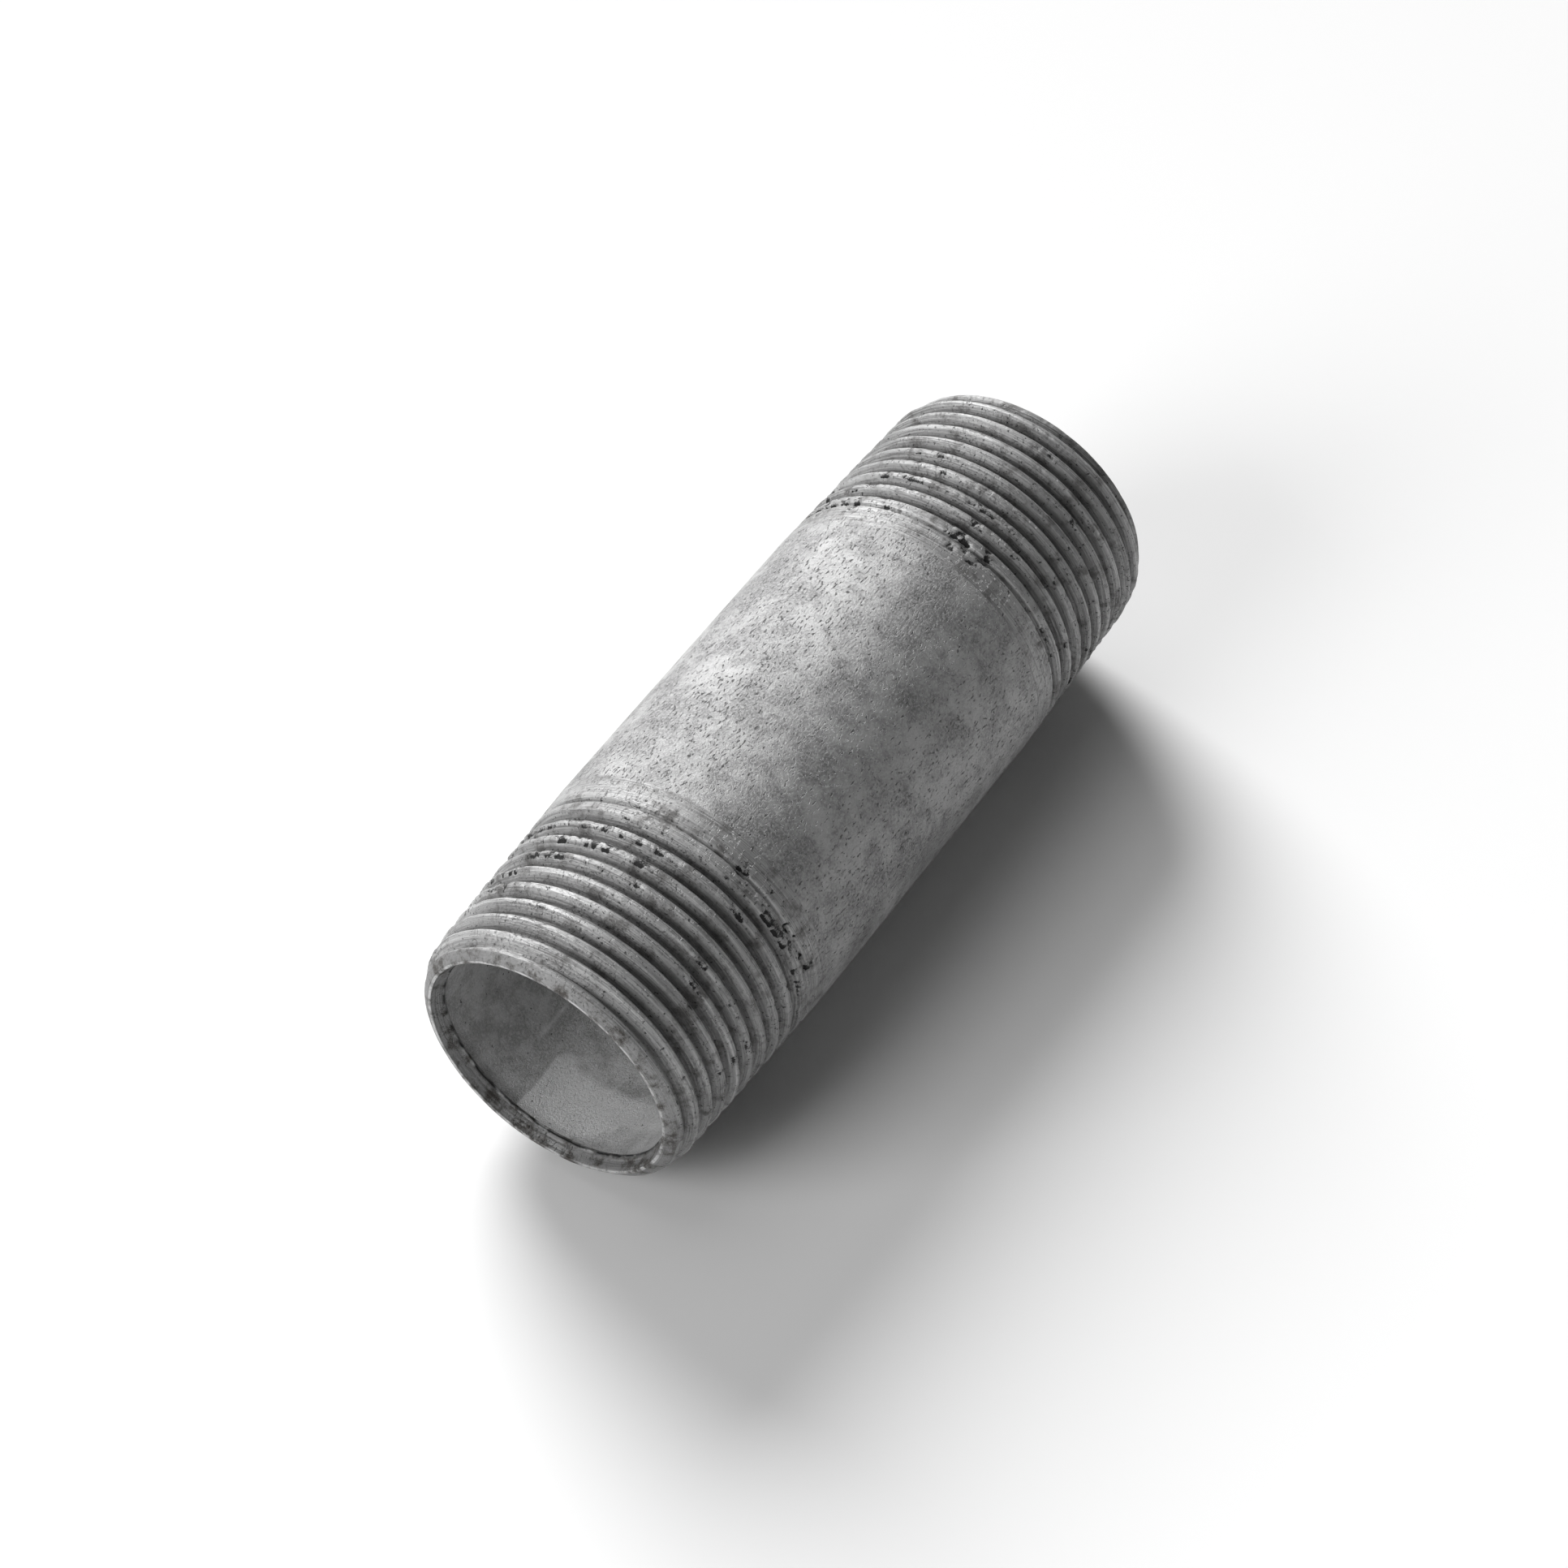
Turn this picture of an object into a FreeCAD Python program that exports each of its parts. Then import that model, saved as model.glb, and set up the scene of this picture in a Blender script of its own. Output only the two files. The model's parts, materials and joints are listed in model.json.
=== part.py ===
import FreeCAD, Part
import os
import Sketcher

# A galvanised steel pipe nipple: a short length of 1-inch Schedule 40 pipe with a right-hand
# 1-11.5 NPT taper thread on each end. It is one solid piece of steel.
#
# Frame: the pipe axis is X and +Z is up, with the nipple lying on its side. The origin is on
# the axis at mid-length, so the end faces stand half the length to either side of it.

# Lengths are in mm and "end" is the nearest end face of the pipe.
DRIVING_SIZES = {
    "overall_length": (90.2, "end face to end face"),
    "barrel_diameter": (33.4, "outside diameter of the plain barrel"),
    "wall_thickness": (3.5, "wall of the plain barrel"),
    "ream_depth": (1.5, "how far in the reamer cuts each mouth of the bore"),
    "ream_width": (0.55, "how much wider than the bore its mouth is, on the radius"),
    "rim_width": (0.35, "width of the flat end face, on the radius"),
    "rim_bevel": (0.65, "length of the bevel between the end face and the lead chamfer"),
    "lead_chamfer": (2.85, "end to where the chamfer ahead of the thread meets the crests"),
    "chamfer_depth": (0.8, "how far inside the crests the lead chamfer starts"),
    "shoulder_step": (0.05, "height of the step from the turned end up to the barrel"),
    "turned_band": (1.97, "plain turned band between the thread and the step"),
    "diameter_taper": (0.0625, "growth of the thread diameter per mm of length"),
    "thread_pitch": (2.2087, "crest to crest, along the axis"),
    "thread_angle": (60.0, "angle between the flanks of the groove, in degrees"),
    "crest_flat": (0.55, "width of the land that is left between grooves"),
    "root_flat": (0.1, "width of the bottom of the groove"),
    "full_thread": (19.2, "end to where the groove starts to run out"),
    "runout_turns": (1.6, "turns that the groove takes to rise out of the surface"),
}

SHEET = "Sizes"
NIPPLE = "pipe_nipple"

# Expressions in the sheet's sizes. The axial ones are distances from the end.
HALF_LENGTH = f"{SHEET}.overall_length / 2"
BARREL_RADIUS = f"{SHEET}.barrel_diameter / 2"
BORE_RADIUS = f"({BARREL_RADIUS} - {SHEET}.wall_thickness)"
MOUTH_RADIUS = f"({BORE_RADIUS} + {SHEET}.ream_width)"
RADIUS_SLOPE = f"{SHEET}.diameter_taper / 2"
FLANK_SLOPE = f"tan({SHEET}.thread_angle / 2)"
GROOVE_DEPTH = (
    f"({SHEET}.thread_pitch - {SHEET}.crest_flat - {SHEET}.root_flat) / (2 * {FLANK_SLOPE})"
)
# The cutter stands proud of the crests, by less than would make its turns touch.
CUTTER_RISE = f"{SHEET}.crest_flat / 4 / {FLANK_SLOPE}"
# Enough whole turns to start the cut in the open, ahead of the end face.
FULL_TURNS = f"(ceil({SHEET}.full_thread / {SHEET}.thread_pitch) + 1)"
CUT_START = f"({SHEET}.full_thread - {FULL_TURNS} * {SHEET}.thread_pitch)"
RUNOUT_LENGTH = f"({SHEET}.runout_turns * {SHEET}.thread_pitch)"
TURNED_LENGTH = f"({SHEET}.full_thread + {RUNOUT_LENGTH} + {SHEET}.turned_band)"
# Past the barrel's surface, so that turning the end leaves no skin.
TURNING_RADIUS = f"({BARREL_RADIUS} + {SHEET}.barrel_diameter / 20)"


def crest_radius(distance):
    """The radius over the crests at a distance from the end, as an expression."""
    below_step = f"({TURNED_LENGTH} - ({distance})) * {RADIUS_SLOPE}"
    return f"({BARREL_RADIUS} - {SHEET}.shoulder_step - {below_step})"


def make_sheet(doc):
    """The spreadsheet of driving sizes, with an alias for each."""
    sheet = doc.addObject("Spreadsheet::Sheet", SHEET)
    for row, (alias, (value, meaning)) in enumerate(DRIVING_SIZES.items(), start=1):
        sheet.set(f"A{row}", alias)
        sheet.set(f"B{row}", str(value))
        sheet.set(f"C{row}", meaning)
        sheet.setAlias(f"B{row}", alias)
    doc.recompute()


def origin_feature(body, role):
    """One of the body's own origin planes or axes."""
    return next(f for f in body.Origin.OriginFeatures if f.Role == role)


def add_sketch(body, name, plane_role):
    """An empty sketch on one of the body's origin planes."""
    sketch = body.newObject("Sketcher::SketchObject", name)
    sketch.AttachmentSupport = (origin_feature(body, plane_role), [""])
    sketch.MapMode = "FlatFace"
    return sketch


def add_dimension(sketch, constraint, name, expression):
    """A named constraint whose value follows an expression."""
    index = sketch.addConstraint(constraint)
    sketch.renameConstraint(index, name)
    sketch.setExpression(f"Constraints.{name}", expression)


def draw_ring(sketch, radii):
    """Circles about the sketch's origin. radii is {name: radius expression}."""
    for name, expression in radii.items():
        value = float(sketch.evalExpression(expression))
        centre = FreeCAD.Vector(0, 0, 0)
        circle = sketch.addGeometry(Part.Circle(centre, FreeCAD.Vector(0, 0, 1), value))
        sketch.addConstraint(Sketcher.Constraint("Coincident", circle, 3, -1, 1))
        add_dimension(sketch, Sketcher.Constraint("Radius", circle, value), name, expression)


def draw_outline(sketch, name, corners):
    """A closed outline at the end that lies towards -X.

    Each corner is (distance from the end, radius), both as expressions.
    """
    places = [
        (
            float(sketch.evalExpression(f"{HALF_LENGTH} - ({distance})")),
            float(sketch.evalExpression(radius)),
        )
        for distance, radius in corners
    ]
    points = [FreeCAD.Vector(-behind, above, 0) for behind, above in places]
    first = sketch.GeometryCount
    count = len(points)
    for i in range(count):
        sketch.addGeometry(Part.LineSegment(points[i], points[(i + 1) % count]))
    for i in range(count):
        following = first + (i + 1) % count
        sketch.addConstraint(Sketcher.Constraint("Coincident", first + i, 2, following, 1))
    for i, (distance, radius) in enumerate(corners):
        line = first + i
        behind, above = places[i]
        along = Sketcher.Constraint("DistanceX", line, 1, -1, 1, behind)
        add_dimension(sketch, along, f"{name}_along_{i}", f"{HALF_LENGTH} - ({distance})")
        out = Sketcher.Constraint("DistanceY", -1, 1, line, 1, above)
        add_dimension(sketch, out, f"{name}_radius_{i}", radius)


def add_tube(body):
    """The length of plain pipe that the nipple is cut from."""
    sketch = add_sketch(body, "tube_section", "YZ_Plane")
    draw_ring(sketch, {"outside": BARREL_RADIUS, "bore": BORE_RADIUS})
    tube = body.newObject("PartDesign::Pad", "tube")
    tube.Profile = sketch
    tube.Midplane = True
    tube.setExpression("Length", f"{SHEET}.overall_length")
    return tube


def draw_groove(sketch, distance):
    """The section of the thread groove, centred at a distance from the end."""
    root_radius = f"{crest_radius(distance)} - {GROOVE_DEPTH}"
    top_radius = f"{crest_radius(distance)} + {CUTTER_RISE}"
    half_root = f"{SHEET}.root_flat / 2"
    half_top = f"({half_root} + ({GROOVE_DEPTH} + {CUTTER_RISE}) * {FLANK_SLOPE})"
    draw_outline(
        sketch,
        "groove",
        [
            (f"{distance} - {half_root}", root_radius),
            (f"{distance} + {half_root}", root_radius),
            (f"{distance} + {half_top}", top_radius),
            (f"{distance} - {half_top}", top_radius),
        ],
    )


def add_thread_cut(body, name, start, turns, cone_angle):
    """A right-hand helical cut on a cone, from a distance from the end."""
    sketch = add_sketch(body, f"{name}_section", "XZ_Plane")
    draw_groove(sketch, start)
    cut = body.newObject("PartDesign::SubtractiveHelix", name)
    cut.Profile = sketch
    cut.ReferenceAxis = (sketch, ["H_Axis"])
    cut.Mode = "pitch-turns-angle"
    cut.LeftHanded = False
    cut.setExpression("Pitch", f"{SHEET}.thread_pitch")
    cut.setExpression("Turns", turns)
    cut.setExpression("Angle", cone_angle)
    return cut


def add_full_thread(body):
    """The groove at its full depth, along the taper."""
    angle = f"atan({RADIUS_SLOPE})"
    return add_thread_cut(body, "full_thread_cut", CUT_START, FULL_TURNS, angle)


def add_runout(body):
    """The last turns, where the groove rises until it leaves the surface."""
    rise = f"({GROOVE_DEPTH} + {CUTTER_RISE} / 2 + {RADIUS_SLOPE} * {RUNOUT_LENGTH})"
    angle = f"atan({rise} / {RUNOUT_LENGTH})"
    start = f"{SHEET}.full_thread"
    return add_thread_cut(body, "runout_cut", start, f"{SHEET}.runout_turns", angle)


def add_turned_end(body):
    """What the lathe takes off: the taper, the lead chamfer, the rim's bevel and the reaming."""
    sketch = add_sketch(body, "turned_end_section", "XZ_Plane")
    bevel = f"{SHEET}.rim_bevel"
    chamfer = f"{SHEET}.lead_chamfer"
    draw_outline(
        sketch,
        "outside",
        [
            ("0", f"{MOUTH_RADIUS} + {SHEET}.rim_width"),
            (bevel, f"{crest_radius(bevel)} - {SHEET}.chamfer_depth"),
            (chamfer, crest_radius(chamfer)),
            (TURNED_LENGTH, crest_radius(TURNED_LENGTH)),
            (TURNED_LENGTH, TURNING_RADIUS),
            ("0", TURNING_RADIUS),
        ],
    )
    draw_outline(
        sketch,
        "reaming",
        [
            ("0", BORE_RADIUS),
            (f"{SHEET}.ream_depth", BORE_RADIUS),
            ("0", MOUTH_RADIUS),
        ],
    )
    turning = body.newObject("PartDesign::Groove", "turned_end")
    turning.Profile = sketch
    turning.ReferenceAxis = (sketch, ["H_Axis"])
    turning.Angle = 360
    return turning


def add_other_end(body, cuts):
    """The same cuts at the end towards +X, turned half way round so that they stay right-hand."""
    pattern = body.newObject("PartDesign::PolarPattern", "both_ends")
    pattern.Originals = cuts
    pattern.Axis = (origin_feature(body, "Z_Axis"), [""])
    pattern.Angle = 360
    pattern.Occurrences = 2
    body.Tip = pattern
    return pattern


def make_nipple(doc):
    """The whole nipple, as a body at the document's origin."""
    body = doc.addObject("PartDesign::Body", NIPPLE)
    body.Label = NIPPLE
    body.Placement = FreeCAD.Placement()
    stages = [add_tube(body)]
    for add_cut in (add_full_thread, add_runout, add_turned_end):
        stages.append(add_cut(body))
        doc.recompute()
    stages.append(add_other_end(body, stages[1:]))
    doc.recompute()
    return body, stages


def check(doc, body, stages):
    """Stops the build if anything failed, or if a cut took no metal away."""
    failed = [o.Label for o in doc.Objects if {"Invalid", "Error"} & set(o.State)]
    if failed:
        raise RuntimeError(f"these objects failed: {failed}")
    shape = body.Shape
    if shape.isNull() or not shape.isValid() or len(shape.Solids) != 1:
        raise RuntimeError(f"{body.Label} is not one valid solid")
    for before, after in zip(stages, stages[1:]):
        if after.Shape.Volume >= before.Shape.Volume:
            raise RuntimeError(f"{after.Label} took nothing away")


def main():
    doc = FreeCAD.newDocument("threaded_pipe_nipple")
    make_sheet(doc)
    body, stages = make_nipple(doc)
    check(doc, body, stages)
    os.makedirs("parts", exist_ok=True)
    body.Shape.exportStep(os.path.join("parts", f"{body.Label}.step"))
    print(f"{body.Label}: volume {body.Shape.Volume:.1f} mm3, {len(body.Shape.Faces)} faces")


main()
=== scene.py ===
import json
import math

import bpy
import numpy as np
from mathutils import Matrix, Vector


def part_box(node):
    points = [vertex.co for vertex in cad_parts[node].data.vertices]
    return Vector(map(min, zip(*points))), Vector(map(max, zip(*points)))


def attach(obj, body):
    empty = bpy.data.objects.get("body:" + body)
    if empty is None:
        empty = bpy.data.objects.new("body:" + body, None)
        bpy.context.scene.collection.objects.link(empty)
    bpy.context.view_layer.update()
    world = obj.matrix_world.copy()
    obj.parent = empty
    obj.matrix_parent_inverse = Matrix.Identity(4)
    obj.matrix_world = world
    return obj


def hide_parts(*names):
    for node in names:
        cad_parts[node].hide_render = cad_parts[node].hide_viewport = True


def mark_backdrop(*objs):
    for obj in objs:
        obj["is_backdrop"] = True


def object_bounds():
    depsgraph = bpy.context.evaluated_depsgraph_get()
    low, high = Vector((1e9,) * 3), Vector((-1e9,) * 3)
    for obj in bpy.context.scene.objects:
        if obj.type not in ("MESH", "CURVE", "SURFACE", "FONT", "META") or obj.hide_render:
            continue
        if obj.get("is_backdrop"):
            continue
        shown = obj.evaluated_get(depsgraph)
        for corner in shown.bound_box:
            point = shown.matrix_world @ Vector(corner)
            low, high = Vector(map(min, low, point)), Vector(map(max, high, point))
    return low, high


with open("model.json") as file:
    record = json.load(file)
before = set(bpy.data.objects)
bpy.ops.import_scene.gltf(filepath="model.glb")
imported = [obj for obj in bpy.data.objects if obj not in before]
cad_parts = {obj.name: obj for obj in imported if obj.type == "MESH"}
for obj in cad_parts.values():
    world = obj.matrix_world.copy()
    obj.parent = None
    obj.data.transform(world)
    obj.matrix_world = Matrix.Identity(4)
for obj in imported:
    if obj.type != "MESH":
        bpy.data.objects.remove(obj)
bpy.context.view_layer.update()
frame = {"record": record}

# The nipple is one closed mesh. It is built in millimetres from rows of points that run
# round the pipe (theta, from straight down, right-handed about +X) and follow the thread's
# helix at each end, so that every crest edge lies on a row.

NODE = "pipe_nipple"
MM = 0.001
MOUNTS = {mount["name"]: mount for mount in frame["record"]["mounts"]}

HALF_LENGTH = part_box(NODE)[1].x / MM
BARREL_RADIUS = MOUNTS["barrel"]["dims"]["r_mm"]
BORE_RADIUS = MOUNTS["flow_bore"]["dims"]["r_mm"]

# Sizes of the ends, as the design has them.
PITCH = 2.2087
FLANK_SLOPE = math.tan(math.radians(30))
CREST_FLAT = 0.55
ROOT_FLAT = 0.1
DEPTH = (PITCH - CREST_FLAT - ROOT_FLAT) / (2 * FLANK_SLOPE)
TAPER = 1 / 32
FULL_THREAD = 19.2
RUNOUT_TURNS = 1.6
RUNOUT = RUNOUT_TURNS * PITCH
TURNED_BAND = 1.97
TURNED_LENGTH = FULL_THREAD + RUNOUT + TURNED_BAND
SHOULDER_STEP = 0.05
LEAD_CHAMFER = 2.85
CHAMFER_DEPTH = 0.8
RIM_BEVEL = 0.65
REAM_DEPTH = 1.5
MOUTH_RADIUS = BORE_RADIUS + 0.55
RIM_RADIUS = MOUTH_RADIUS + 0.35

# How the mesh is divided.
COLUMNS = 600
TURN = 2 * math.pi
THETA = np.arange(COLUMNS) * TURN / COLUMNS
BORE_ROWS = 90
BARREL_ROWS = 76
RIM_SHARES = (0.12, 0.35, 0.65, 0.88)
REAM_INSETS = tuple(np.linspace(0.05, REAM_DEPTH + 0.2, 30))
# Helical rows keep this far from the straight rows that close them off.
ROW_GAP = 0.04
# The helical rows stop just past the run-out, and straight rows take over.
ZONE_LENGTH = FULL_THREAD + RUNOUT + 0.35


# ---------------------------------------------------------------- noise


def hashed(ix, iy, iz, seed):
    """A repeatable number from 0 to 1 for each lattice point."""
    mixed = (
        ix.astype(np.int64) * 374761393
        + iy.astype(np.int64) * 668265263
        + iz.astype(np.int64) * 2147483647
        + seed * 1274126177
    ) & 0xFFFFFFFF
    mixed = ((mixed ^ (mixed >> 13)) * 1274126177) & 0xFFFFFFFF
    mixed = ((mixed ^ (mixed >> 16)) * 2246822519) & 0xFFFFFFFF
    return ((mixed ^ (mixed >> 15)) & 0xFFFFFF) / float(0xFFFFFF)


def value_noise(x, y, z, seed):
    """Smooth noise from -1 to 1 with features about one unit across."""
    fx, fy, fz = np.floor(x), np.floor(y), np.floor(z)
    tx, ty, tz = x - fx, y - fy, z - fz
    tx, ty, tz = (t * t * (3 - 2 * t) for t in (tx, ty, tz))
    total = 0.0
    for dx in (0, 1):
        for dy in (0, 1):
            for dz in (0, 1):
                weight = (
                    (tx if dx else 1 - tx) * (ty if dy else 1 - ty) * (tz if dz else 1 - tz)
                )
                total = total + weight * hashed(fx + dx, fy + dy, fz + dz, seed)
    return total * 2 - 1


def fractal(x, y, z, size, seed, octaves=3):
    """Sum of octaves of value noise. size is the largest feature, in mm."""
    total, strength, reach = 0.0, 1.0, 0.0
    for octave in range(octaves):
        scale = 2**octave / size
        total = total + strength * value_noise(x * scale, y * scale, z * scale, seed + octave)
        reach += strength
        strength *= 0.5
    return total / reach


def ramp(value, low, high):
    """0 below low, 1 above high and smooth between."""
    t = np.clip((value - low) / (high - low), 0, 1)
    return t * t * (3 - 2 * t)


def around(x, radius, theta):
    """Cartesian millimetres of points given by distance along the pipe, radius and angle."""
    return x, radius * np.sin(theta), -radius * np.cos(theta)


# ---------------------------------------------------------------- section


def crest_cone(inset):
    """Radius over the thread's crests at a distance from the end face."""
    return BARREL_RADIUS - SHOULDER_STEP - (TURNED_LENGTH - inset) * TAPER


def blank_radius(inset):
    """Radius of the turned blank, before threading: the bevel, the lead chamfer, the taper."""
    bevel_top = crest_cone(RIM_BEVEL) - CHAMFER_DEPTH
    bevel = RIM_RADIUS + (bevel_top - RIM_RADIUS) * inset / RIM_BEVEL
    reach = (inset - RIM_BEVEL) / (LEAD_CHAMFER - RIM_BEVEL)
    chamfer = bevel_top + (crest_cone(LEAD_CHAMFER) - bevel_top) * reach
    return soft_min(soft_min(bevel, chamfer, 0.15), crest_cone(inset), 0.1)


def groove_depth(centre):
    """Depth of the groove whose centre is at a distance from the end face."""
    return DEPTH * np.clip((FULL_THREAD + RUNOUT - centre) / RUNOUT, 0, 1)


def groove_half_width(centre):
    """Half the groove's width at the surface, never so small that its rows would meet."""
    return ROOT_FLAT / 2 + np.maximum(groove_depth(centre) * FLANK_SLOPE, 0.1)


def soft_min(first, second, reach):
    """The smaller of two heights, rounded over where they are within reach of each other."""
    overlap = np.maximum(reach - np.abs(first - second), 0) / reach
    return np.minimum(first, second) - overlap * overlap * reach / 4


def soft_max(first, second, reach):
    """The larger of two heights, rounded over where they are within reach of each other."""
    return -soft_min(-first, -second, reach)


# ---------------------------------------------------------------- surface

# groove carries painted shade; wear_and_highlight carries wear on the rim and painted highlight
# on edges.
MASKS = ("threaded", "groove", "pit", "bore", "face", "film", "wear_and_highlight")


class Surface:
    """Points and faces of the mesh as they are made, with what each point is."""

    def __init__(self):
        self.points = []
        self.masks = []
        self.faces = []
        self.triangles = []
        self.count = 0

    def add(self, x, radius, theta, masks):
        """Adds points and gives their numbers, in the arrays' own shape."""
        x, radius, theta = np.broadcast_arrays(x, radius, theta)
        numbers = self.count + np.arange(x.size).reshape(x.shape)
        self.points.append(np.stack([x.ravel(), radius.ravel(), theta.ravel()], 1))
        columns = [np.broadcast_to(masks.get(name, 0.0), x.shape).ravel() for name in MASKS]
        self.masks.append(np.stack(columns, 1))
        self.count += x.size
        return numbers

    def band(self, before, after):
        """A ring of quads between two rows of point numbers."""
        self.faces.append(
            np.stack([before, np.roll(before, -1), np.roll(after, -1), after], 1)
        )

    def rings(self, before, x, radius, **masks):
        """Rows that go straight round, joined to the row before them. Gives the last row."""
        numbers = self.add(x, radius, THETA[None, :], masks)
        for row in numbers:
            self.band(before, row)
            before = row
        return before


# Where the rows of one pitch lie: in the groove as shares of its half width, then over the
# crest as shares of the crest's half width.
GROOVE_ROWS = (-1.0, -0.88, -0.7, -0.45, -0.2, 0.0, 0.2, 0.45, 0.7, 0.88, 1.0)
CREST_ROWS = (0.2, 0.55, 1.0, 1.45, 1.8)
ROWS = [(0, share) for share in GROOVE_ROWS] + [(1, share) for share in CREST_ROWS]
ROWS_PER_PITCH = len(ROWS)


def groove_centre(end, x, theta):
    """Where along the pipe the nearest groove's centre is. end is -1 at -X and 1 at +X."""
    start = end * (HALF_LENGTH - FULL_THREAD) + PITCH * (theta - math.pi) / TURN
    return start + PITCH * np.round((x - start) / PITCH)


def thread_zone(surface, end, low_ring, high_ring, x_low, x_high):
    """Rows that follow the helix between two straight rings.

    Rows are numbered along +X. The pipe's last column meets its first one a turn later, so
    there each row joins the row one pitch further on.
    """
    start = end * (HALF_LENGTH - FULL_THREAD)
    first_turn = math.floor((x_low - start) / PITCH) - 2
    last_turn = math.ceil((x_high - start) / PITCH) + 2
    turns = range(first_turn, last_turn + 1)
    turn = np.array([turn for turn in turns for _ in ROWS])[:, None]
    rows = np.array([row for _ in turns for row in ROWS])
    kind, share = rows[:, :1], rows[:, 1:]

    centre = start + PITCH * (turn + (THETA[None, :] - math.pi) / TURN)
    half_width = groove_half_width(HALF_LENGTH - end * centre)
    next_half_width = groove_half_width(HALF_LENGTH - end * (centre + PITCH))
    crest = PITCH - half_width - next_half_width
    x = centre + np.where(kind == 0, share * half_width, half_width + crest * share / 2)

    kept = (x > x_low + ROW_GAP) & (x < x_high - ROW_GAP)
    theta = np.broadcast_to(THETA[None, :], x.shape)[kept]
    radius, masks = threaded_end(end, x[kept], theta)
    numbers = np.full((len(x), COLUMNS + 1), -1)
    numbers[:, :COLUMNS][kept] = surface.add(x[kept], radius, theta, masks)
    numbers[:-ROWS_PER_PITCH, COLUMNS] = numbers[ROWS_PER_PITCH:, 0]

    here, there = numbers[:, :-1], numbers[:, 1:]
    quads = np.stack([here[:-1], there[:-1], there[1:], here[1:]], -1)
    surface.faces.append(quads[(quads >= 0).all(-1)])
    join_rings(surface, numbers, low_ring, high_ring)


def join_rings(surface, numbers, low_ring, high_ring):
    """Closes the strips between the helix's rows and the straight rings at both edges."""
    present = numbers >= 0
    first = present.argmax(0)
    last = len(numbers) - 1 - present[::-1].argmax(0)
    low, high = (np.append(ring, ring[0]) for ring in (low_ring, high_ring))
    for a in range(COLUMNS):
        b = a + 1
        low_corner, high_corner = numbers[first[a], a], numbers[last[b], b]
        surface.faces.append(
            np.array(
                [
                    [low[a], low[b], numbers[first[b], b], low_corner],
                    [numbers[last[a], a], high_corner, high[b], high[a]],
                ]
            )
        )
        for row in range(first[b], first[a]):
            surface.triangles.append([low_corner, numbers[row, b], numbers[row + 1, b]])
        for row in range(last[b], last[a]):
            surface.triangles.append([numbers[row, a], high_corner, numbers[row + 1, a]])


# ---------------------------------------------------------------- shapes


def threaded_end(end, x, theta):
    """Radius and masks of the threaded ends. end is -1 at -X and 1 at +X."""
    inset = HALF_LENGTH - end * x
    blank = blank_radius(inset)
    nearest = groove_centre(end, x, theta)
    # Zinc rounds the first crests over. Near the barrel they stay flat.
    rounding = 0.75 - 0.5 * ramp(inset, 6, 17)
    radius = blank
    for centre in (nearest - PITCH, nearest, nearest + PITCH):
        depth = groove_depth(HALF_LENGTH - end * centre)
        aside = np.maximum(np.abs(x - centre) - ROOT_FLAT / 2, 0)
        wall = crest_cone(HALF_LENGTH - end * centre) - depth + aside / FLANK_SLOPE
        groove = np.where(depth > 0, soft_max(wall, crest_cone(inset) - depth, 0.25), blank + 1)
        radius = soft_min(radius, groove, rounding)
    cut = blank - radius
    px, py, pz = around(x, BARREL_RADIUS, theta)

    # Torn metal: pits that follow the crest edges, in patches, most of them near the barrel.
    edge = np.exp(-(((cut - 0.16) / 0.2) ** 2)) * ramp(inset, 0.3, 1.5)
    patch = ramp(fractal(px, py, pz, 6.0, 11, 2), -0.35, 0.35)
    torn = edge * patch * (0.45 + 0.55 * ramp(inset, 6, 15)) * ramp(23.8 - inset, 0, 1)
    pit = torn * ramp(fractal(px, py, pz, 0.9, 23), 0.02, 0.25)
    radius = radius - 0.26 * pit
    radius = radius + 0.05 * fractal(px * 0.5, py, pz, 4.0, 31, 2)
    radius = radius + 0.03 * fractal(px, py, pz, 0.8, 37, 2)
    # The groove mask, the depth of the cut, is used only to darken the grooves as painted
    # shade.
    masks = {"threaded": 1.0, "groove": np.clip(cut / DEPTH, 0, 1), "pit": pit}
    masks["face"] = ramp(0.75 - inset, -0.2, 0.2)
    # Bright crest edges: partly wear, partly painted highlight.
    masks["wear_and_highlight"] = np.exp(-(((cut - 0.12) / 0.07) ** 2)) * (1 - pit) * (1 - masks["face"])
    return radius, masks


def barrel(x, theta):
    """Radius of the plain turned band, the step and the barrel."""
    inset = HALF_LENGTH - np.abs(x)
    rise = ramp(inset, TURNED_LENGTH - 0.12, TURNED_LENGTH + 0.12)
    plain = blank_radius(np.minimum(inset, TURNED_LENGTH)) * (1 - rise) + BARREL_RADIUS * rise
    px, py, pz = around(x, BARREL_RADIUS, theta)
    wave = 0.02 * fractal(px, py, pz, 9.0, 41, 2) - 0.03
    return plain + wave * rise + 0.006 * fractal(px, py, pz, 0.8, 43, 2)


def barrel_masks(x):
    """The turned bands are finished like the thread. A painted shade line runs along the foot
    of each step, and a painted highlight line along its top edge.
    """
    past_step = TURNED_LENGTH - HALF_LENGTH + np.abs(x)
    return {
        "threaded": ramp(past_step, 0, 0.2),
        # Painted shade: a dark line at the foot of the step.
        "groove": 0.6 * np.exp(-(((past_step - 0.1) / 0.12) ** 2)),
        # Painted highlight: a bright line along the step's top edge.
        "wear_and_highlight": 0.8 * np.exp(-(((past_step + 0.12) / 0.1) ** 2)),
    }


def rim(end, share, theta, outer):
    """Distance in from the end, and radius, at a share of the way to the bore's mouth."""
    px, py, pz = around(end * 50.0, RIM_RADIUS, theta)
    ragged = 0.07 * fractal(px + 0 * theta, py, pz, 1.3, 53) * share
    edge = 0.05 * (2 * share - 1) ** 4
    return edge + 0 * theta, outer + (MOUTH_RADIUS - outer) * share + ragged


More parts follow.
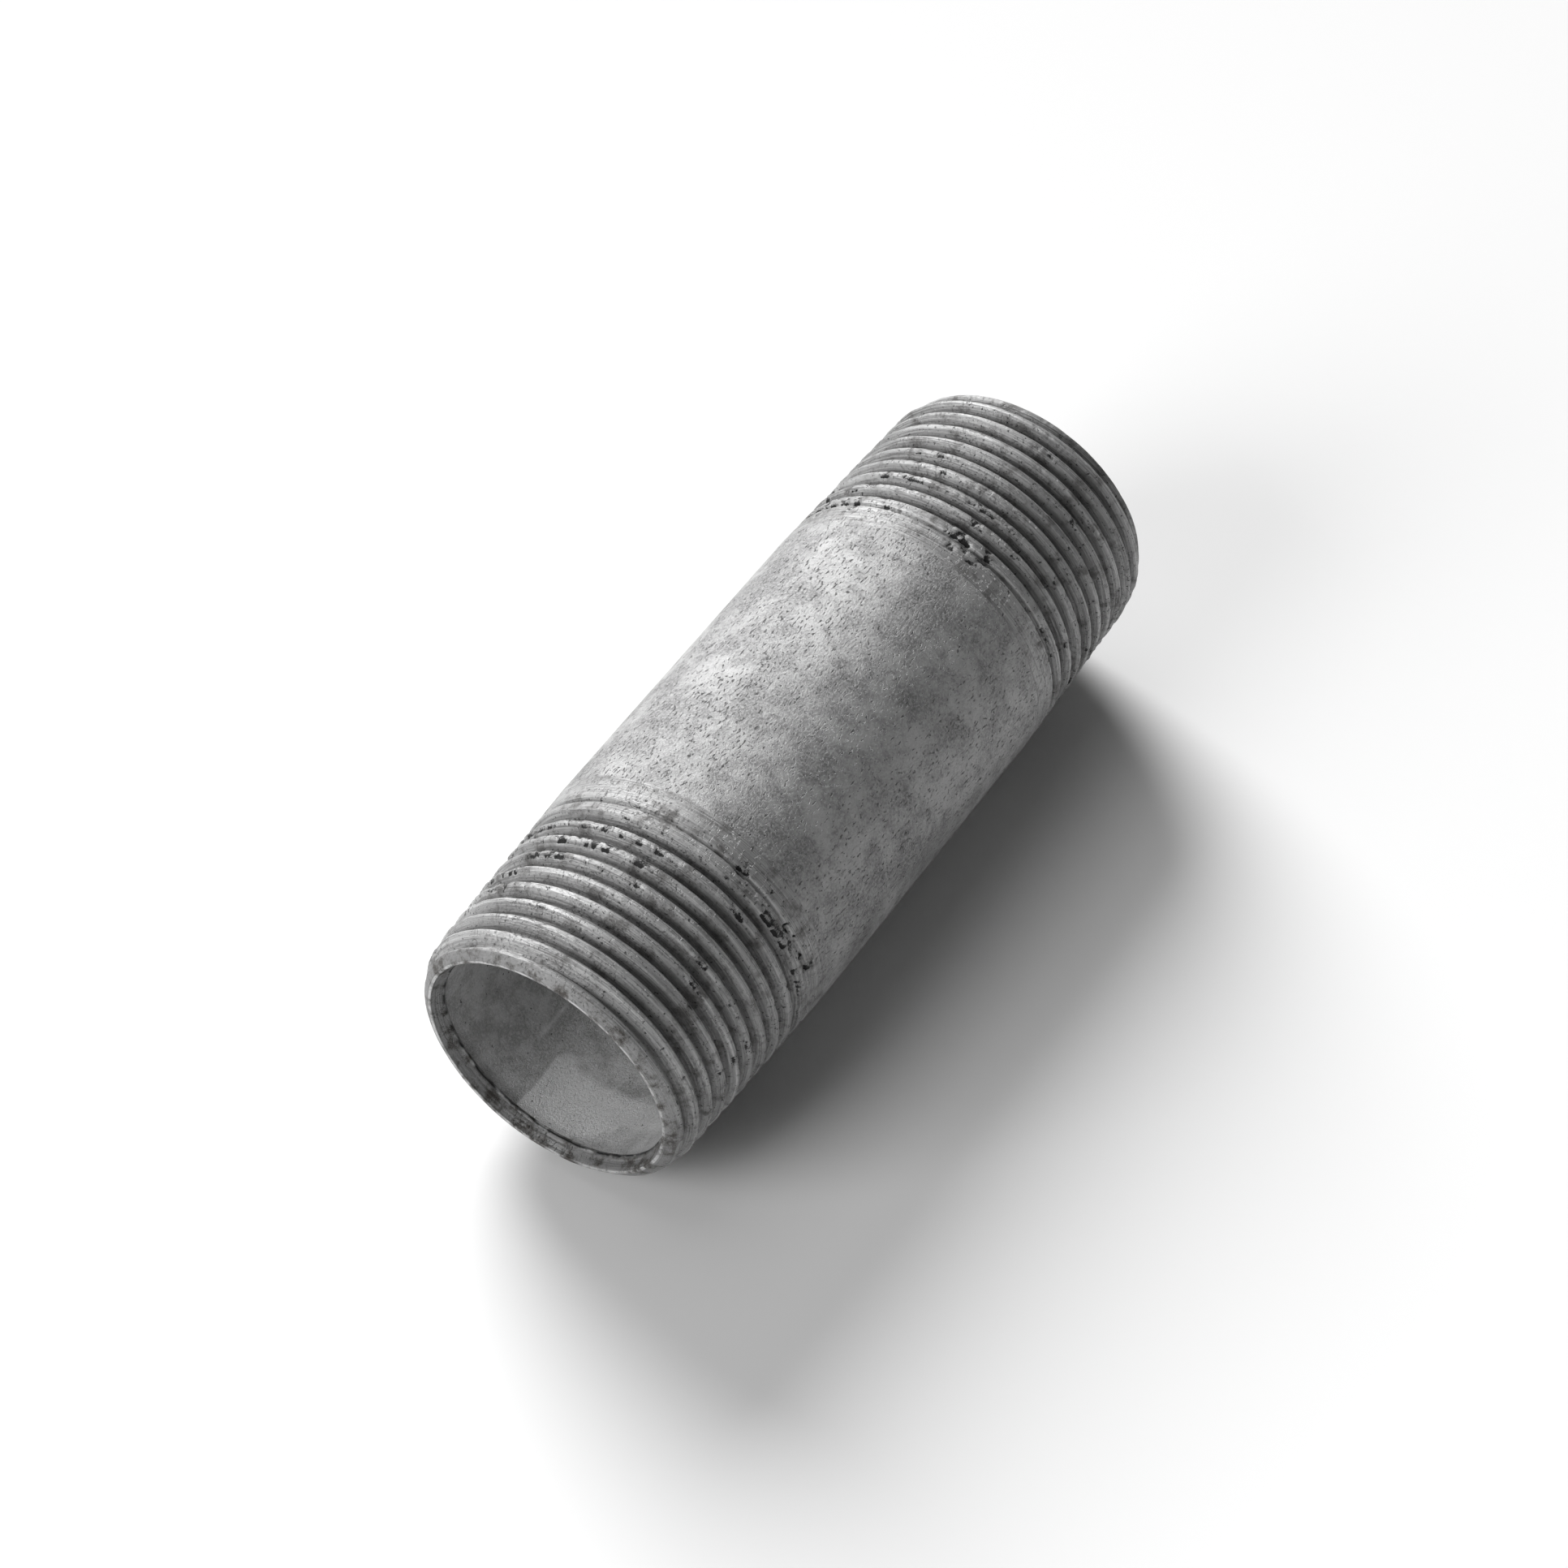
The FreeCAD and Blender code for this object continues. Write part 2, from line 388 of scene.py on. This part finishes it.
def reamed(end, inset, theta):
    """Radius of the reamed mouth: a cone with the reamer's rings and a burr at its bottom."""
    px, py, pz = around(end * inset, MOUTH_RADIUS, theta)
    cone = BORE_RADIUS + (MOUTH_RADIUS - BORE_RADIUS) * (1 - inset / REAM_DEPTH)
    rings = 0.05 * fractal(px * 5.0, py * 0.12, pz * 0.12, 1.0, 57, 2)
    burr = 0.16 * ramp(fractal(0 * px, py, pz, 1.2, 59), -0.3, 0.5)
    lip = np.exp(-(((inset - REAM_DEPTH) / 0.12) ** 2))
    inside = ramp(inset, 0, 0.2)
    ragged = 0.07 * fractal(0 * px + end * 50.0, py * RIM_RADIUS / MOUTH_RADIUS, pz, 1.3, 53)
    return cone + rings * inside - burr * lip + ragged * (1 - inside)


def build_surface():
    """The whole outside, one end face, the bore and the other end face, as one closed skin."""
    surface = Surface()
    none = np.zeros((1, COLUMNS))
    rim_radius = {}
    rim_masks = {}
    for end in (-1, 1):
        rim_x = end * HALF_LENGTH + none
        rim_radius[end], rim_masks[end] = threaded_end(end, rim_x, THETA + none)

    around_rim = THETA[None, :]
    first_rim = surface.add(-HALF_LENGTH, rim_radius[-1], around_rim, rim_masks[-1])[0]
    zone_edge = HALF_LENGTH - ZONE_LENGTH
    rows = barrel_rows(zone_edge)[:, None] + none
    numbers = surface.add(rows, barrel(rows, THETA + none), around_rim, barrel_masks(rows))
    for before, after in zip(numbers, numbers[1:]):
        surface.band(before, after)
    last_rim = surface.add(HALF_LENGTH, rim_radius[1], around_rim, rim_masks[1])[0]
    thread_zone(surface, -1, first_rim, numbers[0], -HALF_LENGTH, -zone_edge)
    thread_zone(surface, 1, numbers[-1], last_rim, zone_edge, HALF_LENGTH)

    row = join_end(surface, 1, last_rim, rim_radius[1])
    bore_x = np.linspace(1, -1, BORE_ROWS)[:, None] * (HALF_LENGTH - REAM_DEPTH - 0.3) + none
    radius, masks = bore(bore_x, THETA + none)
    row = surface.rings(row, bore_x, radius, **masks)
    row = join_end(surface, -1, row, rim_radius[-1])
    surface.band(row, first_rim)
    return surface


def join_end(surface, end, row, outer):
    """Adds one end's rim and reamed mouth to the skin, on from a row. Gives the last row."""
    none = np.zeros((1, COLUMNS))
    share = np.array(RIM_SHARES)[::end, None] + none
    inset = np.array(REAM_INSETS)[::end, None] + none
    sunk, radius = rim(end, share, THETA + none, outer)
    ream_masks = {"face": 1.0, "pit": burr_shade(inset, THETA + none)}
    parts = [
        (end * (HALF_LENGTH - sunk), radius, {"face": 1.0, "wear_and_highlight": 0.6}),
        (end * (HALF_LENGTH - inset), reamed(end, inset, THETA + none), ream_masks),
    ]
    for x, radius, masks in parts[::end]:
        row = surface.rings(row, x, radius, **masks)
    return row


def burr_shade(inset, theta):
    """Where the dark torn line at the bottom of the reamed cone shows."""
    _, py, pz = around(0.0, BORE_RADIUS, theta)
    broken = ramp(fractal(inset * 2, py, pz, 1.0, 67), -0.25, 0.25)
    return broken * np.exp(-(((inset - REAM_DEPTH) / 0.16) ** 2))


def barrel_rows(zone_edge):
    """Where the straight rows of the outside are, close together at the steps."""
    step = HALF_LENGTH - TURNED_LENGTH
    side = [zone_edge, zone_edge - 0.5, zone_edge - 1.0, step + 0.3]
    side += [step + offset for offset in (0.15, 0.08, 0.0, -0.08, -0.15, -0.3)]
    middle = np.linspace(-step + 0.8, step - 0.8, BARREL_ROWS)
    return np.concatenate([-np.array(side), middle, np.array(side[::-1])])


def bore(x, theta):
    """Radius and masks of the bore: a fine roughness, and films of zinc that ran and set."""
    inset = HALF_LENGTH + x
    px, py, pz = around(x, BORE_RADIUS, theta)
    wave = fractal(px, py, pz, 4.0, 71, 2)
    # Degrees from the bottom of the bore, positive towards +Y.
    angle = np.degrees((theta + math.pi) % TURN - math.pi)
    pool = ramp(23.5 + 2 * wave - angle, -0.6, 0.6) * ramp(angle + 75, 0, 8)
    pool = pool * ramp(9.2 + 1.2 * wave - inset, -0.3, 0.3)
    patch_edge = 5.4 * ramp(2 - angle, -8, 32) + 0.6 * wave
    patch = ramp(patch_edge - inset, -0.12, 0.12) * pool
    run = np.exp(-((angle - 35 - 0.5 * wave) ** 2))
    run = run * ramp(inset, 8.5, 10) * ramp(15 - inset, 0, 1)
    lip = np.exp(-(((patch_edge - inset) / 0.12) ** 2)) * pool
    film = np.clip(pool * 0.85 - 0.5 * patch + 0.3 * lip + 0.5 * run, 0, 1)
    radius = BORE_RADIUS + 0.03 * wave - 0.05 * film - 0.05 * run
    return radius, {"bore": 1.0, "film": film}


def build_mesh(surface):
    """A Blender mesh in metres from the surface's rows."""
    x, radius, theta = np.concatenate(surface.points).T
    points = np.stack(around(x, radius, theta), 1) * MM
    quads = np.concatenate(surface.faces)
    triangles = np.array(surface.triangles)
    corners = np.concatenate([quads.ravel(), triangles.ravel()])
    starts = np.concatenate(
        [np.arange(len(quads)) * 4, len(quads) * 4 + np.arange(len(triangles)) * 3]
    )
    mesh = bpy.data.meshes.new("nipple_skin")
    mesh.vertices.add(len(points))
    mesh.vertices.foreach_set("co", points.ravel())
    mesh.loops.add(len(corners))
    mesh.loops.foreach_set("vertex_index", corners.astype(np.int32))
    mesh.polygons.add(len(starts))
    mesh.polygons.foreach_set("loop_start", starts.astype(np.int32))
    mesh.update(calc_edges=True)
    mesh.shade_smooth()
    for name, values in zip(MASKS, np.concatenate(surface.masks).T):
        mesh.attributes.new(name, "FLOAT", "POINT").data.foreach_set("value", values)

    # The lay runs with the thread: u round the pipe and v along it, in mm.
    corner_theta = theta[corners]
    at_seam = np.repeat(
        np.maximum.reduceat(corner_theta, starts) > math.pi * 1.5,
        np.diff(np.append(starts, len(corners))),
    ) & (corner_theta < math.pi / 2)
    corner_theta = corner_theta + TURN * at_seam
    lay = mesh.uv_layers.new(name="lay")
    along = x[corners] - PITCH * corner_theta / TURN
    values = np.stack([corner_theta * BARREL_RADIUS, along], 1)
    lay.data.foreach_set("uv", values.astype(np.float32).ravel())
    return mesh


# ---------------------------------------------------------------- material


class Nodes:
    """Makes shader nodes. Inputs are given by name, as a value or as another node's socket."""

    def __init__(self, tree):
        self.tree = tree

    def make(self, kind, settings=None, **inputs):
        node = self.tree.nodes.new("ShaderNode" + kind)
        for name, value in (settings or {}).items():
            setattr(node, name, value)
        for name, value in inputs.items():
            self.put(node.inputs[name.replace("_", " ")], value)
        return node

    def put(self, socket, value):
        if isinstance(value, bpy.types.NodeSocket):
            self.tree.links.new(value, socket)
        else:
            socket.default_value = value

    def mask(self, name):
        return self.make("Attribute", {"attribute_name": name}).outputs["Fac"]

    def noise(self, vector, scale, detail=3.0, roughness=0.5):
        node = self.make(
            "TexNoise", Vector=vector, Scale=scale, Detail=detail, Roughness=roughness
        )
        return node.outputs["Fac"]

    def stretch(self, vector, scale):
        return self.make("Mapping", Vector=vector, Scale=scale).outputs["Vector"]

    def between(self, value, low, high, to_low=0.0, to_high=1.0):
        node = self.make("MapRange", {"interpolation_type": "SMOOTHSTEP"}, Value=value)
        limits = {"From Min": low, "From Max": high, "To Min": to_low, "To Max": to_high}
        for name, number in limits.items():
            node.inputs[name].default_value = number
        return node.outputs["Result"]

    def math(self, operation, *values):
        node = self.tree.nodes.new("ShaderNodeMath")
        node.operation = operation
        for socket, value in zip(node.inputs, values):
            self.put(socket, value)
        return node.outputs["Value"]

    def mix(self, factor, first, second):
        node = self.make("Mix", {"data_type": "RGBA"})
        self.put(node.inputs["Factor"], factor)
        self.put(node.inputs[6], first)
        self.put(node.inputs[7], second)
        return node.outputs[2]


def grey(level, warmth=0.0):
    """A linear grey, a little warm."""
    return (level * (1 + warmth), level, level * (1 - warmth), 1.0)


def barrel_colour(n, place):
    """Matte zinc: clouds, a sandy grain, and scattered dark pits and short dashes."""
    cloud = n.noise(place, 0.15, 5.0, 0.6)
    blotch = n.noise(place, 0.42, 6.0, 0.72)
    grain = n.noise(place, 3.6, 5.0, 0.75)
    pitting = n.noise(n.stretch(place, (1.0, 2.2, 2.2)), 1.7, 4.0, 0.62)
    colour = n.mix(n.between(cloud, 0.36, 0.62), grey(0.22), grey(0.42))
    colour = n.mix(n.between(blotch, 0.42, 0.66, 0.0, 0.7), colour, grey(0.12))
    colour = n.mix(n.between(grain, 0.4, 0.68, 0.0, 0.7), colour, grey(0.52))
    colour = n.mix(n.between(pitting, 0.59, 0.66, 0.0, 0.8), colour, grey(0.035))
    return colour, grain, pitting


def thread_colour(n, place, lay, groove, wear_and_highlight, pit):
    """Smoother zinc: fine lines along the helix, painted shade in the grooves, and crest edges
    made bright, partly as wear and partly as painted highlight.
    """
    fine = n.noise(n.stretch(lay, (0.10, 9.0, 1.0)), 1.0, 4.0, 0.65)
    broad = n.noise(n.stretch(lay, (0.07, 1.6, 1.0)), 1.0, 3.0, 0.6)
    stain = n.noise(place, 0.45, 5.0, 0.62)
    dot = n.noise(place, 2.6, 3.0, 0.6)
    colour = n.mix(n.between(fine, 0.34, 0.68), grey(0.20), grey(0.46))
    colour = n.mix(n.between(broad, 0.35, 0.7, 0.0, 0.55), colour, grey(0.48))
    colour = n.mix(n.between(stain, 0.48, 0.7, 0.0, 0.75), colour, grey(0.09, 0.04))
    # Painted shade: the deeper into the groove, the darker.
    colour = n.mix(n.between(groove, 0.3, 0.9, 0.0, 0.5), colour, grey(0.05, 0.03))
    # The crest edges are lightened, partly as wear and partly as painted highlight.
    bright_edges = n.math("MULTIPLY", wear_and_highlight, n.between(broad, 0.42, 0.68, 0.0, 0.7))
    colour = n.mix(bright_edges, colour, grey(0.75))
    colour = n.mix(n.between(dot, 0.62, 0.68, 0.0, 0.85), colour, grey(0.03))
    torn = n.math("MULTIPLY_ADD", n.noise(place, 2.2, 4.0, 0.7), 1.6, -0.8)
    return n.mix(n.between(n.math("ADD", pit, torn), 0.3, 0.6), colour, grey(0.02)), fine


def face_colour(n, place, wear_and_highlight):
    """The cut rim and bevel: grey with brown-black stains, and a bright worn edge."""
    stain = n.noise(place, 0.55, 5.0, 0.68)
    fleck = n.noise(place, 3.0, 4.0, 0.65)
    colour = n.mix(n.between(stain, 0.46, 0.66), grey(0.27), grey(0.07, 0.08))
    colour = n.mix(n.between(fleck, 0.5, 0.8, 0.0, 0.5), colour, grey(0.4))
    return n.mix(n.math("MULTIPLY", wear_and_highlight, n.between(stain, 0.6, 0.4)), colour, grey(0.7))


def bore_colour(n, place, film):
    """The bore: dull zinc with fine specks, under lighter films that ran down and set."""
    mottle = n.noise(place, 0.5, 5.0, 0.62)
    grain = n.noise(place, 4.0, 4.0, 0.7)
    dot = n.noise(place, 1.9, 2.0, 0.5)
    colour = n.mix(n.between(mottle, 0.35, 0.65), grey(0.40), grey(0.62))
    colour = n.mix(n.between(grain, 0.4, 0.75, 0.0, 0.7), colour, grey(0.72))
    colour = n.mix(n.math("MULTIPLY", film, 0.85), colour, grey(0.95))
    return n.mix(n.between(dot, 0.71, 0.76, 0.0, 0.9), colour, grey(0.03))


def make_material():
    """Galvanised steel as it looks on each part of the nipple."""
    material = bpy.data.materials.new("zinc_coated_steel")
    material.use_nodes = True
    tree = material.node_tree
    tree.nodes.clear()
    n = Nodes(tree)
    place = n.stretch(n.make("TexCoord").outputs["Object"], (1 / MM, 1 / MM, 1 / MM))
    lay = n.make("UVMap", {"uv_map": "lay"}).outputs["UV"]
    threaded, groove, pit, inside, face, film, wear_and_highlight = (n.mask(name) for name in MASKS)

    plain, grain, pitting = barrel_colour(n, place)
    thread, lines = thread_colour(n, place, lay, groove, wear_and_highlight, pit)
    colour = n.mix(threaded, plain, thread)
    colour = n.mix(inside, colour, bore_colour(n, place, film))
    colour = n.mix(face, colour, face_colour(n, place, wear_and_highlight))
    colour = n.mix(n.math("MULTIPLY", face, pit), colour, grey(0.012))

    # Sandy where the zinc is plain, lined where the die cut, pitted all over.
    smooth = n.math("MAXIMUM", threaded, face)
    sand = n.math("MULTIPLY", grain, n.math("MULTIPLY_ADD", smooth, -0.6, 1.0))
    lined = n.math("MULTIPLY", lines, n.math("MULTIPLY", threaded, 0.9))
    holes = n.between(pitting, 0.57, 0.67, 0.0, -0.8)
    height = n.math("ADD", n.math("ADD", sand, lined), holes)
    bump = n.make("Bump", Strength=1.0, Distance=0.00012, Height=height)
    shader = n.make(
        "BsdfPrincipled",
        Base_Color=colour,
        Metallic=0.6,
        Roughness=n.between(grain, 0.3, 0.7, 0.42, 0.6),
        Normal=bump.outputs["Normal"],
    )
    out = n.make("OutputMaterial")
    tree.links.new(shader.outputs["BSDF"], out.inputs["Surface"])
    return material


FLOOR_REACH = 30.0


def make_floor(level):
    """A pale floor, wide enough to fill every view, and its material."""
    mesh = bpy.data.meshes.new("floor")
    around_middle = ((-1, -1), (1, -1), (1, 1), (-1, 1))
    corners = [(x * FLOOR_REACH, y * FLOOR_REACH, level) for x, y in around_middle]
    mesh.from_pydata(corners, [], [(0, 1, 2, 3)])
    material = bpy.data.materials.new("pale_floor")
    material.use_nodes = True
    shader = material.node_tree.nodes["Principled BSDF"]
    shader.inputs["Base Color"].default_value = grey(0.86)
    shader.inputs["Roughness"].default_value = 0.9
    mesh.materials.append(material)
    floor = bpy.data.objects.new("floor", mesh)
    bpy.context.scene.collection.objects.link(floor)
    return floor


# ---------------------------------------------------------------- camera and light

AZIMUTH = math.radians(-57)
ELEVATION = math.radians(50.25)
DISTANCE = 0.4535
LENS = 101.16
SENSOR = 36.0
# How far the pipe's middle stands right of and above the middle of the view.
MIDDLE_RIGHT = 0.00126
MIDDLE_UP = 0.00134

KEY_TOWARD = (0.46, 0.70, 0.52)
KEY_STRENGTH = 4.3
KEY_SPREAD = math.radians(31)
# Direction, distance and size in metres, and power in watts.
SOFTBOXES = {
    "fill": ((-0.80, 0.35, 0.50), 0.9, 0.5, 5.0),
    "overhead": ((0.0, 0.25, 1.0), 1.2, 0.7, 1.5),
}
# The backdrop looks pale, and lights the object only a little.
BACKDROP_LIGHT = 0.11
BACKDROP_SEEN = 0.8


def make_camera():
    """The photograph's viewpoint."""
    back = Vector(
        (
            math.sin(AZIMUTH) * math.cos(ELEVATION),
            -math.cos(AZIMUTH) * math.cos(ELEVATION),
            math.sin(ELEVATION),
        )
    )
    right = Vector((math.cos(AZIMUTH), math.sin(AZIMUTH), 0))
    up = back.cross(right)
    camera = bpy.data.cameras.new("camera")
    camera.lens = LENS
    camera.sensor_width = SENSOR
    camera.clip_start = 0.01
    holder = bpy.data.objects.new("camera", camera)
    turn = Matrix((right, up, back)).transposed().to_4x4()
    place = back * DISTANCE - right * MIDDLE_RIGHT - up * MIDDLE_UP
    holder.matrix_world = Matrix.Translation(place) @ turn
    bpy.context.scene.collection.objects.link(holder)
    bpy.context.scene.camera = holder


def add_softbox(name, direction, distance, size, power):
    """A square area light that faces the object from a direction."""
    light = bpy.data.lights.new(name, "AREA")
    light.shape = "SQUARE"
    light.size = size
    light.energy = power
    holder = bpy.data.objects.new(name, light)
    toward = Vector(direction).normalized()
    turn = toward.to_track_quat("Z", "Y").to_matrix().to_4x4()
    holder.matrix_world = Matrix.Translation(toward * distance) @ turn
    bpy.context.scene.collection.objects.link(holder)


def add_key(direction, strength):
    """A broad soft light that reaches the whole floor evenly."""
    light = bpy.data.lights.new("key", "SUN")
    light.angle = KEY_SPREAD
    light.energy = strength
    holder = bpy.data.objects.new("key", light)
    holder.matrix_world = Vector(direction).to_track_quat("Z", "Y").to_matrix().to_4x4()
    bpy.context.scene.collection.objects.link(holder)


def light_scene():
    """The lights and the pale backdrop."""
    add_key(KEY_TOWARD, KEY_STRENGTH)
    for name, (direction, distance, size, power) in SOFTBOXES.items():
        add_softbox(name, direction, distance, size, power)
    world = bpy.data.worlds.new("studio")
    bpy.context.scene.world = world
    world.use_nodes = True
    background = world.node_tree.nodes["Background"]
    background.inputs["Color"].default_value = (1.0, 1.0, 1.0, 1.0)
    seen = world.node_tree.nodes.new("ShaderNodeLightPath").outputs["Is Camera Ray"]
    strength = world.node_tree.nodes.new("ShaderNodeMapRange")
    strength.inputs["To Min"].default_value = BACKDROP_LIGHT
    strength.inputs["To Max"].default_value = BACKDROP_SEEN
    world.node_tree.links.new(seen, strength.inputs["Value"])
    world.node_tree.links.new(strength.outputs["Result"], background.inputs["Strength"])
    bpy.context.scene.view_settings.view_transform = "Standard"


def main():
    """Makes the nipple in place of its CAD solid, the floor, the camera and the lights."""
    nipple = bpy.data.objects.new("nipple_body", build_mesh(build_surface()))
    bpy.context.scene.collection.objects.link(nipple)
    nipple.data.materials.append(make_material())
    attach(nipple, "root")
    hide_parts(NODE)
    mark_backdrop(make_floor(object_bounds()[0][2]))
    make_camera()
    light_scene()


main()
